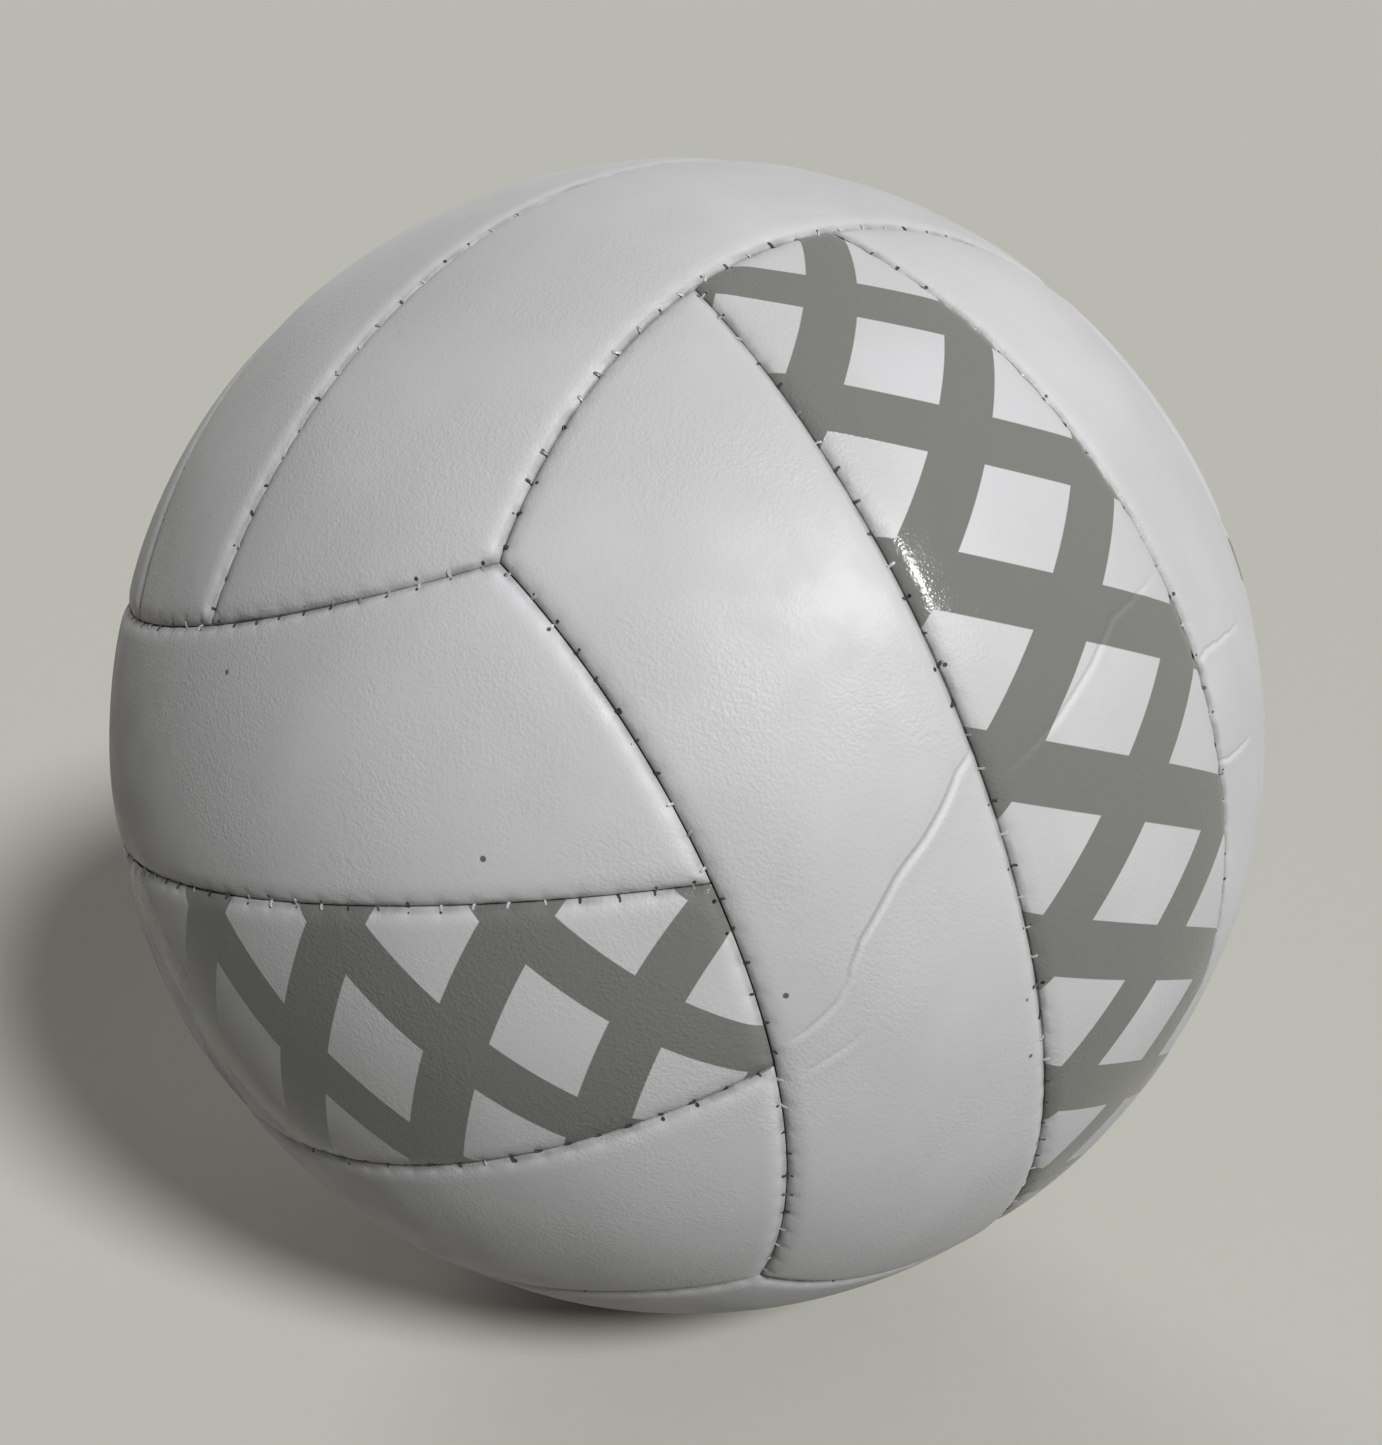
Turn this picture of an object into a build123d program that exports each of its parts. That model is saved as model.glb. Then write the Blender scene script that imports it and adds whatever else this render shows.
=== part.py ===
from build123d import *
from dataclasses import dataclass
from math import acos, asin, cos, degrees, pi, radians, sin, sqrt, tan
import os

# A hand-sewn volleyball: six groups of three strips, each strip a tray of synthetic leather with
# folded-in edges over a foam pad, sewn together round an inflated bladder with a needle valve.
# Lengths are in millimetres and angles in degrees. The origin is the ball's centre, and +Z is up.

# Ball and its layers
BALL_CIRCUMFERENCE = 660.0
COVER_THICKNESS = 1.4
PAD_THICKNESS = 2.6
BLADDER_THICKNESS = 0.8
LAYER_CLEARANCE = 0.1

# Panels and seams
MIDDLE_STRIP_WIDTH = 48.8
FOLD_RADIUS = 1.6
SEAM_GAP = 0.3

# Stitches
STITCH_PITCH = 5.0
STITCH_DEPTH = 1.0
THREAD_DIAMETER = 0.9
THREAD_CLEARANCE = 0.05

# Valve core: nose, collar, body and tip in line, with a blind channel for the inflating needle
NOSE_DIAMETER = 5.4
NOSE_RECESS = 0.5
COLLAR_DIAMETER = 8.4
COLLAR_LENGTH = 3.0
CORE_DIAMETER = 6.8
CORE_LENGTH = 8.0
TIP_DIAMETER = 3.6
TIP_LENGTH = 4.0
NEEDLE_BORE_DIAMETER = 2.3
NEEDLE_BORE_DEPTH = 10.0

# Valve housing: a sleeve round the core, with a boot that lies against the bladder's inside
HOUSING_WALL = 1.8
HOUSING_LIP = 1.0
HOUSING_END_WALL = 1.6
BOOT_DIAMETER = 34.0
BOOT_THICKNESS = 1.5
FIT_CLEARANCE = 0.15

# How the ball lies
REST_YAW = 40.2
REST_LEAN = 17.7

CUT_OVERRUN = 2.0

# Radii of the layers, from the outside in
BALL_RADIUS = BALL_CIRCUMFERENCE / (2 * pi)
PAD_RADIUS = BALL_RADIUS - COVER_THICKNESS - LAYER_CLEARANCE
FLANGE_RADIUS = PAD_RADIUS - PAD_THICKNESS
BLADDER_RADIUS = FLANGE_RADIUS - LAYER_CLEARANCE
BOOT_RADIUS = BLADDER_RADIUS - BLADDER_THICKNESS - LAYER_CLEARANCE
ROLL_RADIUS = FOLD_RADIUS + COVER_THICKNESS

# The seams between the groups are circles about the cube axes through the corners of a cube inside
# the ball. The seams inside a group are great circles, tilted from the middle of the group.
CORNER_ANGLE = degrees(acos(1 / sqrt(3)))
DIVIDER_TILT = degrees(asin(MIDDLE_STRIP_WIDTH / (2 * BALL_RADIUS)))
DIVIDER_END_ANGLE = degrees(acos(1 / (sqrt(3) * cos(radians(DIVIDER_TILT)))))
JUNCTION_ANGLE = degrees(asin(tan(radians(DIVIDER_TILT)) / sqrt(2)))
EDGE_END_ANGLE = 45.0

# Span of the shell sector that a group is cut from
SECTOR_HALF_WIDTH = 50.0
SECTOR_HALF_LENGTH = 65.0

OUT = Vector(0, 0, 1)
ALONG = Vector(1, 0, 0)
ACROSS = Vector(0, 1, 0)
CENTRE = Vector(0, 0, 0)


@dataclass
class Seam:
    """A sewn seam: stretches of the circle at a polar angle about an axis."""

    axis: Vector
    middle: Vector
    polar_angle: float
    stretches: list

    def stitch_places(self):
        """The planes of the stitches, each with its normal square to the seam along the surface."""
        sunk_radius = BALL_RADIUS - STITCH_DEPTH
        polar = radians(self.polar_angle)
        side = self.axis.cross(self.middle)
        places = []
        for start, end in self.stretches:
            length = radians(end - start) * sunk_radius * sin(polar)
            count = max(1, round(length / STITCH_PITCH))
            for i in range(count):
                turn = radians(start + (end - start) * (i + 0.5) / count)
                outward = self.middle * cos(turn) + side * sin(turn)
                point = self.axis * cos(polar) + outward * sin(polar)
                through = outward * cos(polar) - self.axis * sin(polar)
                places.append(Plane(origin=point * sunk_radius, z_dir=through))
        return places


def edge_seam(axis, middle):
    """A seam between two groups, broken where the dividers of one group end on it."""
    stretches = [
        (-EDGE_END_ANGLE, -JUNCTION_ANGLE),
        (-JUNCTION_ANGLE, JUNCTION_ANGLE),
        (JUNCTION_ANGLE, EDGE_END_ANGLE),
    ]
    return Seam(axis, middle, CORNER_ANGLE, stretches)


def divider_normal(side):
    """Unit normal of the divider on one side, pointing out of the middle strip."""
    tilt = radians(DIVIDER_TILT)
    return ACROSS * (side * cos(tilt)) - OUT * sin(tilt)


def divider_seam(side):
    """The seam between the middle strip and the outer strip on one side."""
    tilt = radians(DIVIDER_TILT)
    middle = ACROSS * (side * sin(tilt)) + OUT * cos(tilt)
    return Seam(divider_normal(side), middle, 90.0, [(-DIVIDER_END_ANGLE, DIVIDER_END_ANGLE)])


def make_stitches(seams):
    """The short turns of thread that cross the groove of each seam, between the two rolled edges."""
    groove_depth = STITCH_DEPTH + THREAD_DIAMETER / 2
    edge_rise = ROLL_RADIUS - groove_depth
    groove_half_width = SEAM_GAP / 2 + ROLL_RADIUS - sqrt(ROLL_RADIUS ** 2 - edge_rise ** 2)
    length = 2 * (groove_half_width - THREAD_CLEARANCE)
    return Compound([
        Solid.make_cylinder(THREAD_DIAMETER / 2, length, place.offset(-length / 2))
        for seam in seams
        for place in seam.stitch_places()
    ])


def seam_cone(axis, seam_side, apex_shift):
    """The solid cone through a group's seam circle, with its joint line turned to seam_side."""
    height = BALL_RADIUS + CUT_OVERRUN
    cone = Cone(0, height * tan(radians(CORNER_ANGLE)), height, align=(Align.CENTER, Align.CENTER, Align.MIN))
    return Plane(origin=axis * apex_shift, x_dir=seam_side, z_dir=axis) * cone


def shell_sector(radius, floor_radius):
    """A sector of a spherical shell, wide enough for a whole group."""
    start = 90.0 - SECTOR_HALF_WIDTH
    top = CenterArc((0, 0), radius, start, 2 * SECTOR_HALF_WIDTH)
    floor = CenterArc((0, 0), floor_radius, start, 2 * SECTOR_HALF_WIDTH)
    section = make_face([top, floor, Line(top @ 0, floor @ 0), Line(top @ 1, floor @ 1)])
    turned = (Plane.YZ * section).rotate(Axis.Y, -SECTOR_HALF_LENGTH)
    return revolve(turned, axis=Axis.Y, revolution_arc=2 * SECTOR_HALF_LENGTH)


def strip_block(is_middle, radius, floor_radius, inset, roll):
    """A block in a strip's outline, drawn in from its seams by inset, with its outer edges rolled."""
    apex_shift = inset / sin(radians(CORNER_ANGLE))
    block = shell_sector(radius, floor_radius) & seam_cone(OUT, ACROSS, apex_shift)
    if is_middle:
        for side in (1, -1):
            normal = divider_normal(side)
            block = split(block, Plane(origin=normal * -inset, z_dir=normal), keep=Keep.BOTTOM)
    else:
        normal = divider_normal(1)
        block = split(block, Plane(origin=normal * inset, z_dir=normal), keep=Keep.TOP)
        block = block - seam_cone(ACROSS, OUT * -1, -apex_shift)
    wall_middle = (radius + floor_radius) / 2
    outer_edges = [
        edge for edge in block.edges()
        if min((edge @ share).length for share in (0, 0.5, 1)) > wall_middle
    ]
    return fillet(outer_edges, roll)


def make_cover(is_middle):
    """A cover panel: a tray with folded-in edges."""
    flange_face = SEAM_GAP / 2
    return strip_block(
        is_middle, BALL_RADIUS, FLANGE_RADIUS, flange_face, ROLL_RADIUS
    ) - strip_block(
        is_middle,
        BALL_RADIUS - COVER_THICKNESS,
        FLANGE_RADIUS - CUT_OVERRUN,
        flange_face + COVER_THICKNESS,
        FOLD_RADIUS,
    )


def make_pad(is_middle):
    """A foam pad with its lining, which fills the tray of a cover panel and is rolled like its fold."""
    inset = SEAM_GAP / 2 + COVER_THICKNESS + LAYER_CLEARANCE
    return strip_block(is_middle, PAD_RADIUS, FLANGE_RADIUS, inset, FOLD_RADIUS)


def make_bladder(hole_diameter):
    """The inflated bladder, with the round hole that the valve housing passes through."""
    shell = Sphere(BLADDER_RADIUS) - Sphere(BLADDER_RADIUS - BLADDER_THICKNESS)
    hole = Pos(0, 0, BLADDER_RADIUS) * Cylinder(hole_diameter / 2, 2 * BLADDER_THICKNESS + 2 * CUT_OVERRUN)
    return shell - hole


def turned_solid(points):
    """A solid of revolution about Z from the corners of its half section."""
    return revolve(Plane.XZ * make_face(Polyline(*points, close=True)), axis=Axis.Z)


NECK_RADIUS = COLLAR_DIAMETER / 2 + FIT_CLEARANCE + HOUSING_WALL
HOUSING_TOP = sqrt(PAD_RADIUS ** 2 - NECK_RADIUS ** 2)
COLLAR_TOP = HOUSING_TOP - HOUSING_LIP - FIT_CLEARANCE
COLLAR_END = COLLAR_TOP - COLLAR_LENGTH
CORE_END = COLLAR_END - CORE_LENGTH
TIP_END = CORE_END - TIP_LENGTH
NOSE_TOP = BALL_RADIUS - NOSE_RECESS


def core_envelope(nose_top, growth):
    """The valve core's outer form, grown all round by growth."""
    nose = NOSE_DIAMETER / 2 + growth
    collar = COLLAR_DIAMETER / 2 + growth
    body = CORE_DIAMETER / 2 + growth
    tip = TIP_DIAMETER / 2 + growth
    return turned_solid([
        (0, nose_top), (nose, nose_top),
        (nose, COLLAR_TOP + growth), (collar, COLLAR_TOP + growth),
        (collar, COLLAR_END - growth), (body, COLLAR_END - growth),
        (body, CORE_END), (tip, TIP_END - growth), (0, TIP_END - growth),
    ])


def make_valve_core():
    """The push-in core with its needle channel."""
    channel = Pos(0, 0, NOSE_TOP) * Cylinder(
        NEEDLE_BORE_DIAMETER / 2, 2 * NEEDLE_BORE_DEPTH
    )
    return core_envelope(NOSE_TOP, 0) - channel


def make_valve_housing():
    """The housing: a closed sleeve round the core, with a domed boot under the bladder."""
    sleeve_end = TIP_END - FIT_CLEARANCE - HOUSING_END_WALL
    boot = (Sphere(BOOT_RADIUS) - Sphere(BOOT_RADIUS - BOOT_THICKNESS)) & (
        Pos(0, 0, BOOT_RADIUS) * Cylinder(BOOT_DIAMETER / 2, BOOT_DIAMETER)
    )
    sleeve = Pos(0, 0, sleeve_end) * Cylinder(
        NECK_RADIUS, HOUSING_TOP - sleeve_end, align=(Align.CENTER, Align.CENTER, Align.MIN)
    )
    air_hole = Pos(0, 0, TIP_END) * Cylinder(NEEDLE_BORE_DIAMETER / 2, 2 * (HOUSING_END_WALL + CUT_OVERRUN))
    return sleeve + boot - core_envelope(HOUSING_TOP + CUT_OVERRUN, FIT_CLEARANCE) - air_hole


# Each group's face, the half turn about its strips' direction, the turns about the cube's diagonal,
# and the names of its outer strips
@dataclass
class Group:
    face: str
    is_flipped: bool
    diagonal_turns: int
    first_outer: str
    second_outer: str

    def place(self, shape):
        """Moves a shape from the upright group to this face, then lays the ball as it rests."""
        if self.is_flipped:
            shape = shape.rotate(Axis.X, 180)
        shape = shape.rotate(Axis(CENTRE, (1, 1, 1)), 120 * self.diagonal_turns)
        return shape.rotate(Axis.Z, REST_YAW).rotate(Axis.Y, -REST_LEAN)


GROUPS = [
    Group("top", False, 0, "back", "front"),
    Group("bottom", True, 0, "front", "back"),
    Group("right", False, 1, "upper", "lower"),
    Group("left", True, 1, "lower", "upper"),
    Group("back", False, 2, "right", "left"),
    Group("front", True, 2, "left", "right"),
]
VALVE_FACE = "back"

os.makedirs("parts", exist_ok=True)


def save(name, group, shape):
    """Writes a piece of a group as a node of its own."""
    placed = group.place(shape)
    export_step(placed, f"parts/{name}.step")
    return placed


covers = {is_middle: make_cover(is_middle) for is_middle in (True, False)}
pads = {is_middle: make_pad(is_middle) for is_middle in (True, False)}
divider_stitches = make_stitches([divider_seam(1), divider_seam(-1)])
edge_stitches = make_stitches([edge_seam(ACROSS, OUT), edge_seam(ACROSS * -1, OUT)])

for group in GROUPS:
    nose_hole = Pos(0, 0, BALL_RADIUS) * Cylinder(NOSE_DIAMETER / 2 + FIT_CLEARANCE, 2 * NECK_RADIUS)
    neck_hole = Pos(0, 0, BALL_RADIUS) * Cylinder(NECK_RADIUS + FIT_CLEARANCE, 4 * NECK_RADIUS)
    has_valve = group.face == VALVE_FACE
    save(f"cover_{group.face}_middle", group, covers[True] - nose_hole if has_valve else covers[True])
    save(f"pad_{group.face}_middle", group, pads[True] - neck_hole if has_valve else pads[True])
    for name, turn in ((group.first_outer, 0), (group.second_outer, 180)):
        save(f"cover_{group.face}_{name}", group, covers[False].rotate(Axis.Z, turn))
        save(f"pad_{group.face}_{name}", group, pads[False].rotate(Axis.Z, turn))
    save(f"stitches_{group.face}_dividers", group, divider_stitches)
    save(f"stitches_{group.face}_edges", group, edge_stitches)
    if has_valve:
        save("bladder", group, make_bladder(2 * (NECK_RADIUS + FIT_CLEARANCE)))
        save("valve_housing", group, make_valve_housing())
        save("valve_core", group, make_valve_core())
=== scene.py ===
import logging
import math
from collections.abc import Iterator
from contextlib import contextmanager
from dataclasses import dataclass, field
from enum import Enum

import bpy
import numpy as np
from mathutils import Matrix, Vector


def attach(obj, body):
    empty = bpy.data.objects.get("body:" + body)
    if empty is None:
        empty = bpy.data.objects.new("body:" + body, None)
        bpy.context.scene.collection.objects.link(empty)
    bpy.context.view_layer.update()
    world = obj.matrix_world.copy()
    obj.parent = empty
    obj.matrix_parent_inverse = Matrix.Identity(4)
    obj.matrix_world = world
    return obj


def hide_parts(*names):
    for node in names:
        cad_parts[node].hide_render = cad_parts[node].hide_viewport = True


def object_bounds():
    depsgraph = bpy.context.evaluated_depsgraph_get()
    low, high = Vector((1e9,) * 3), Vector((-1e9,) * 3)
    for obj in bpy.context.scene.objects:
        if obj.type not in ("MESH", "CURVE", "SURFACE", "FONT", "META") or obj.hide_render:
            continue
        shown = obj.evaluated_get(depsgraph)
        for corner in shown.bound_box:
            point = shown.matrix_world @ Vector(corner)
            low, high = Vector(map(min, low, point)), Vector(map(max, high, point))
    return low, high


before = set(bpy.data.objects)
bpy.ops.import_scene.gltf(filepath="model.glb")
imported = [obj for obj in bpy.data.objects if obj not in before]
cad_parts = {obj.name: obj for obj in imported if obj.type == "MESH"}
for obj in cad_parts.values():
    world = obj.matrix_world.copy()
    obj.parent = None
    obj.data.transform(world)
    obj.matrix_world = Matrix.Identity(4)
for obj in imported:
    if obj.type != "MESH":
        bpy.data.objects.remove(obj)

CAD_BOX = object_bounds()
ROOT_BODY = "root"
LOG = logging.getLogger("volleyball")

Array = np.ndarray
Piece = bpy.types.Object
Socket = bpy.types.NodeSocket

MM = 0.001
TINY = 1e-300
X_AXIS = np.array([1.0, 0.0, 0.0])
Y_AXIS = np.array([0.0, 1.0, 0.0])
Z_AXIS = np.array([0.0, 0.0, 1.0])


class Strip(Enum):
    """The two shapes of leather strip in a group of three."""

    MIDDLE = "middle"
    OUTER = "outer"


def turn_about(axis: Array, degrees: float) -> Array:
    """Gives the matrix of a right-handed turn about an axis through the origin, of any length."""
    x, y, z = np.asarray(axis, dtype=float) / np.linalg.norm(axis)
    cross = np.array([[0.0, -z, y], [z, 0.0, -x], [-y, x, 0.0]])
    angle = math.radians(degrees)
    return np.eye(3) + math.sin(angle) * cross + (1.0 - math.cos(angle)) * cross @ cross


def deselect_all() -> None:
    """Leaves object mode with nothing selected, so that an operator acts on new work alone."""
    if bpy.context.object and bpy.context.object.mode != "OBJECT":
        bpy.ops.object.mode_set(mode="OBJECT")
    bpy.ops.object.select_all(action="DESELECT")


def make_active(piece: Piece) -> None:
    """Selects one object alone and makes it the active one."""
    deselect_all()
    piece.select_set(True)
    bpy.context.view_layer.objects.active = piece


@contextmanager
def editing(piece: Piece) -> Iterator[None]:
    """Opens one object in edit mode with all its edges selected, and closes it again."""
    make_active(piece)
    bpy.ops.object.mode_set(mode="EDIT")
    bpy.ops.mesh.select_mode(type="EDGE")
    bpy.ops.mesh.select_all(action="SELECT")
    yield
    bpy.ops.object.mode_set(mode="OBJECT")


def put_in_scene(name: str, data: bpy.types.ID) -> Piece:
    """Makes an object of some data and links it to the scene."""
    piece = bpy.data.objects.new(name, data)
    bpy.context.scene.collection.objects.link(piece)
    return piece


def read_points(mesh: bpy.types.Mesh) -> Array:
    """Gives a mesh's vertices as an array with a row for each."""
    points = np.empty(len(mesh.vertices) * 3)
    mesh.vertices.foreach_get("co", points)
    return points.reshape(-1, 3)


def write_points(mesh: bpy.types.Mesh, points: Array) -> None:
    """Moves a mesh's vertices to the rows of an array."""
    mesh.vertices.foreach_set("co", np.ascontiguousarray(points).ravel())
    mesh.update()


def note_vectors(mesh: bpy.types.Mesh, name: str, values: Array) -> None:
    """Notes a vector for each vertex on a mesh, from the rows of an array."""
    layer = mesh.attributes.new(name, "FLOAT_VECTOR", "POINT")
    layer.data.foreach_set("vector", values.ravel())


@dataclass(frozen=True)
class BallSizes:
    """Sizes of the ball in metres, and how it lies, in degrees."""

    circumference: float = 0.660
    middle_strip_width: float = 48.8 * MM
    stitch_pitch: float = 5.0 * MM
    rest_yaw: float = 40.2
    rest_lean: float = 17.7

    @property
    def radius(self) -> float:
        """Radius over the crowns of the strips."""
        return self.circumference / (2.0 * math.pi)

    @property
    def corner_angle(self) -> float:
        """Polar angle of the seams between groups, which pass through a cube's corners."""
        return math.acos(1.0 / math.sqrt(3.0))

    @property
    def divider_tilt(self) -> float:
        """Tilt of the great circles that part a group's strips."""
        return math.asin(self.middle_strip_width / (2.0 * self.radius))

    @property
    def divider_end(self) -> float:
        """Angle from a divider's middle to its end."""
        return math.acos(1.0 / (math.sqrt(3.0) * math.cos(self.divider_tilt)))

    @property
    def junction(self) -> float:
        """Angle from the middle of a group seam to the end of a divider on it."""
        return math.asin(math.tan(self.divider_tilt) / math.sqrt(2.0))

    def rest_turn(self) -> Array:
        """Gives the turn that lays the ball as it rests."""
        return turn_about(Y_AXIS, -self.rest_lean) @ turn_about(Z_AXIS, self.rest_yaw)


BALL = BallSizes()
EDGE_END = math.radians(45.0)


@dataclass(frozen=True)
class Seam:
    """A sewn seam: stretches of the circle at a polar angle about an axis, in a group's own axes."""

    axis: Array
    middle: Array
    polar: float
    stretches: tuple

    def stitches(self) -> list:
        """Gives the outward, along and across directions of each stitch along the seam."""
        side = np.cross(self.axis, self.middle)
        places = []
        for start, end in self.stretches:
            count = self.stitch_count(start, end)
            for turn in start + (end - start) * (np.arange(count) + 0.5) / count:
                spoke = math.cos(turn) * self.middle + math.sin(turn) * side
                outward = math.cos(self.polar) * self.axis + math.sin(self.polar) * spoke
                across = math.cos(self.polar) * spoke - math.sin(self.polar) * self.axis
                places.append((outward, np.cross(across, outward), across))
        return places

    def stitch_count(self, start: float, end: float) -> int:
        """Gives the number of stitches on a stretch between two angles."""
        length = (end - start) * BALL.radius * math.sin(self.polar)
        return max(1, round(length / BALL.stitch_pitch))

    def distance(self, points: Array) -> Array:
        """Gives how far points of the unit ball lie from the seam, and no end to it behind the ball."""
        polar = np.arccos(np.clip(points @ self.axis, -1.0, 1.0))
        return np.where(points @ self.middle > 0.0, np.abs(polar - self.polar) * BALL.radius, np.inf)

    def run(self, points: Array) -> Array:
        """Gives how far along the seam points lie, in stitches, with each stitch at a whole number."""
        turn = np.arctan2(points @ np.cross(self.axis, self.middle), points @ self.middle)
        run, first = np.full(len(points), -np.inf), 0
        for start, end in self.stretches:
            count = self.stitch_count(start, end)
            is_here = (turn >= start) | (first == 0)
            run = np.where(is_here, first + (turn - start) / (end - start) * count - 0.5, run)
            first += count
        return run


def edge_seam(axis: Array, middle: Array) -> Seam:
    """Gives a seam between two groups, broken where the dividers of one group end on it."""
    breaks = (-EDGE_END, -BALL.junction, BALL.junction, EDGE_END)
    return Seam(axis, middle, BALL.corner_angle, tuple(zip(breaks[:-1], breaks[1:])))


def divider_seam(side: float) -> Seam:
    """Gives the seam between the middle strip and the outer strip on one side."""
    tilt = BALL.divider_tilt
    normal = side * math.cos(tilt) * Y_AXIS - math.sin(tilt) * Z_AXIS
    middle = side * math.sin(tilt) * Y_AXIS + math.cos(tilt) * Z_AXIS
    return Seam(normal, middle, math.pi / 2.0, ((-BALL.divider_end, BALL.divider_end),))


@dataclass(frozen=True)
class Group:
    """One of the six groups of strips: its face, its turn from the upright group and its names."""

    face: str
    is_flipped: bool
    diagonal_turns: int
    outer_names: tuple
    has_print: bool
    has_valve: bool = False

    def matrix(self) -> Array:
        """Gives the turn from the upright group's axes to the resting ball."""
        flip = turn_about(X_AXIS, 180.0 if self.is_flipped else 0.0)
        diagonal = turn_about(np.ones(3), 120.0 * self.diagonal_turns)
        return BALL.rest_turn() @ diagonal @ flip


GROUPS = (
    Group("top", False, 0, ("back", "front"), has_print=False),
    Group("bottom", True, 0, ("front", "back"), has_print=False),
    Group("right", False, 1, ("upper", "lower"), has_print=True),
    Group("left", True, 1, ("lower", "upper"), has_print=True),
    Group("back", False, 2, ("right", "left"), has_print=True, has_valve=True),
    Group("front", True, 2, ("left", "right"), has_print=True),
)


@dataclass(frozen=True)
class PhotoCamera:
    """The camera of the photograph: its frame in pixels, and its place in ball radii."""

    frame_width: float = 1382.0
    frame_height: float = 1445.0
    focal_pixels: float = 1678.9
    place_in_radii: tuple = (0.00638, -2.88906, 1.04338)
    elevation: float = 19.46
    sensor: float = 36.0
    clip_start: float = 0.01

    def turn(self) -> Array:
        """Gives the turn from camera axes (right, down, forward) to the ball's."""
        rise, run = math.sin(math.radians(self.elevation)), math.cos(math.radians(self.elevation))
        return np.array([[1.0, 0.0, 0.0], [0.0, -rise, run], [0.0, -run, -rise]])

    def on_ball(self, pixels: tuple) -> Array:
        """Finds where lines of sight through pixels meet the ball, as unit vectors from its centre."""
        pixels = np.asarray(pixels, dtype=float)
        centred = (pixels - (self.frame_width / 2.0, self.frame_height / 2.0)) / self.focal_pixels
        rays = np.column_stack([centred, np.ones(len(centred))])
        rays = rays / np.linalg.norm(rays, axis=1, keepdims=True) @ self.turn().T
        eye = np.array(self.place_in_radii)
        nearing = rays @ eye
        reach = -nearing - np.sqrt(np.maximum(nearing ** 2 - eye @ eye + 1.0, 0.0))
        return eye + rays * reach[:, None]

    def build(self) -> Piece:
        """Creates the camera and makes it the scene's."""
        data = bpy.data.cameras.new("photo_camera")
        data.sensor_width = self.sensor
        data.lens = self.focal_pixels / max(self.frame_width, self.frame_height) * self.sensor
        data.clip_start = self.clip_start
        camera = put_in_scene("photo_camera", data)
        camera.location = np.array(self.place_in_radii) * BALL.radius
        camera.rotation_euler = (math.radians(90.0 - self.elevation), 0.0, 0.0)
        bpy.context.scene.camera = camera
        return camera


CAMERA = PhotoCamera()


@dataclass(frozen=True)
class Crease:
    """A fold in one strip along a line of pixels of the photograph, from its upper end down."""

    node: str
    pixels: tuple
    depth: float
    valley_place: float = -0.35 * MM
    valley_reach: float = 0.75 * MM
    lip_place: float = 0.85 * MM
    lip_reach: float = 1.05 * MM
    lip_share: float = 0.75

    def place(self, points: Array) -> tuple:
        """Finds how points of the unit ball lie to the fold.

        Args:
            points: Unit vectors, one row for each point.

        Returns:
            The distance of each point to the right of the fold, and the fold's height there.
        """
        line = CAMERA.on_ball(self.pixels)
        lengths = np.linalg.norm(np.diff(line, axis=0), axis=1)
        walked = np.concatenate([[0.0], np.cumsum(lengths)])
        nearest = np.full(len(points), np.inf)
        offset, height = np.full(len(points), np.inf), np.zeros(len(points))
        for start, end, length, before in zip(line[:-1], line[1:], lengths, walked):
            run = (end - start) / length
            share = np.clip((points - start) @ run, 0.0, length)
            gap = points - start - share[:, None] * run
            distance = np.linalg.norm(gap, axis=1) * BALL.radius
            side = np.where(gap @ np.cross(run, start) > 0.0, -1.0, 1.0)
            fade = np.sin(np.pi * np.clip((before + share) / walked[-1], 0.0, 1.0)) ** 0.5
            is_closer = distance < nearest
            nearest = np.where(is_closer, distance, nearest)
            offset = np.where(is_closer, side * distance, offset)
            height = np.where(is_closer, self.depth * fade, height)
        return offset, height

    def form(self, points: Array) -> Array:
        """Gives the leather's rise over the fold: a valley, with a lip along its right side."""
        offset, height = self.place(points)
        valley = np.exp(-((offset - self.valley_place) / self.valley_reach) ** 2)
        lip = np.exp(-((offset - self.lip_place) / self.lip_reach) ** 2)
        return height * (self.lip_share * lip - valley)


CREASES = (
    Crease(
        "cover_front_left",
        (
            (980, 744), (958, 773), (950, 793), (941, 812), (924, 841), (907, 863), (895, 880), (885, 899),
            (873, 921), (861, 941), (851, 968), (846, 990),
        ),
        0.24 * MM,
    ),
    Crease("cover_front_left", ((853, 974), (835, 1005), (820, 1020), (805, 1033), (784, 1046)), 0.11 * MM),
    Crease("cover_front_left", ((866, 1030), (852, 1044), (830, 1058), (800, 1078)), 0.08 * MM),
    Crease(
        "cover_front_middle",
        ((1158, 572), (1112, 618), (1092, 665), (1056, 722), (1002, 778)),
        0.14 * MM,
    ),
    Crease("cover_front_right", ((1238, 622), (1206, 650), (1194, 694)), 0.14 * MM),
    Crease("cover_front_right", ((1252, 734), (1222, 765), (1206, 804)), 0.14 * MM),
)
CREASE_LAYERS = ("crease_first", "crease_second", "crease_third")
SPECK_PIXELS = ((483, 859), (1032, 1057), (1029, 1001), (226, 672), (786, 996))


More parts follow.
